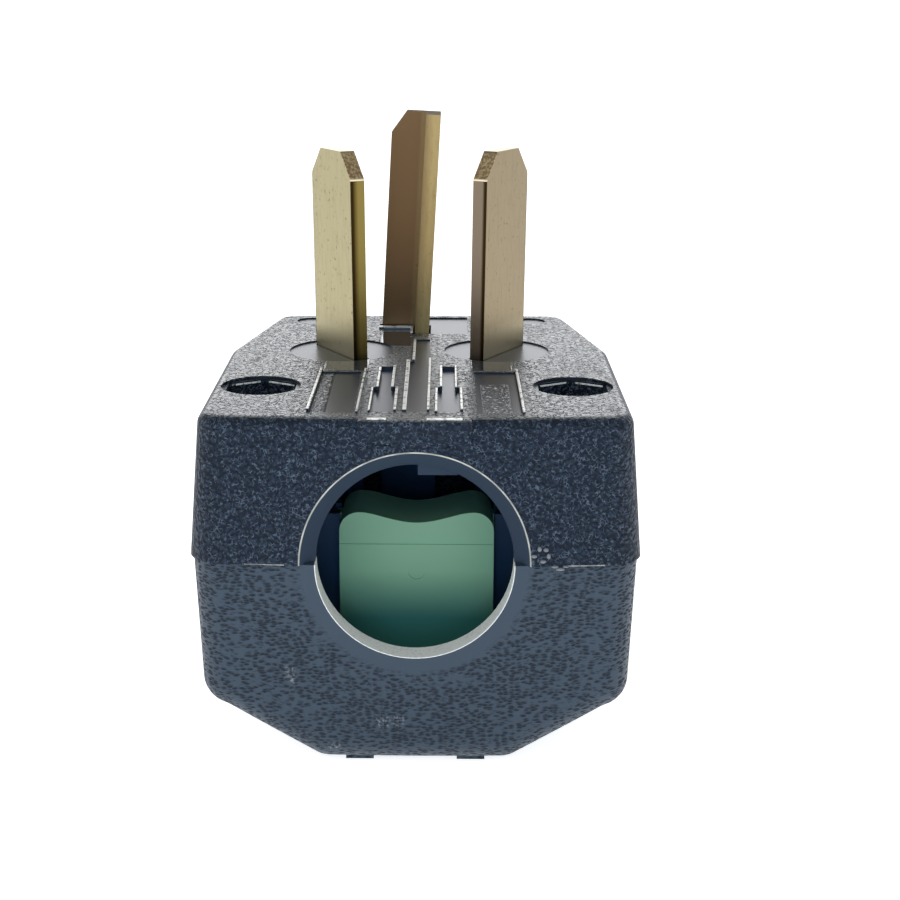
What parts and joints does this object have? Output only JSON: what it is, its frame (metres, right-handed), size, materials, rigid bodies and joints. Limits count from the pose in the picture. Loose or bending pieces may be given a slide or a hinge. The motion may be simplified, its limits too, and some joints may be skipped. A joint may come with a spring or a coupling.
{
  "type": "angle plug",
  "caption": "Angle plug with a side cable entry, slanted flat blades and an L shaped neutral blade on a two part black housing, with a green cable clamp inside.",
  "frame": {"origin": "on the surface the plug stands on, under the middle of its outer box", "axes": "+Z the way the blades point, -Y the way the cable leaves, +X to the right seen from the cable side"},
  "size_m": [0.0506, 0.0601, 0.0702],
  "materials": {
    "housing_plastic": "black moulding with a leather grain",
    "blade_brass": "tarnished rolled brass strip, bright at the cropped tips",
    "hot_screw_brass": "turned brass",
    "plate_steel": "zinc plated pressed steel",
    "zinc_steel": "bright zinc plate",
    "clamp_plastic": "green moulding, satin"
  },
  "bodies": {
    "root": {"upper_shell": "housing_plastic", "lower_shell": "housing_plastic", "left_hot_blade": "blade_brass", "right_hot_blade": "blade_brass", "neutral_blade": "blade_brass", "left_wire_plate": "plate_steel", "right_wire_plate": "plate_steel", "neutral_wire_plate": "plate_steel", "left_terminal_screw": "hot_screw_brass", "right_terminal_screw": "hot_screw_brass", "neutral_terminal_screw": "zinc_steel", "left_clamp_screw": "zinc_steel", "right_clamp_screw": "zinc_steel", "left_rear_screw": "zinc_steel", "right_rear_screw": "zinc_steel", "left_clamp_nut": "zinc_steel", "right_clamp_nut": "zinc_steel", "cable_clamp_block": "clamp_plastic"}
  },
  "joints": []
}
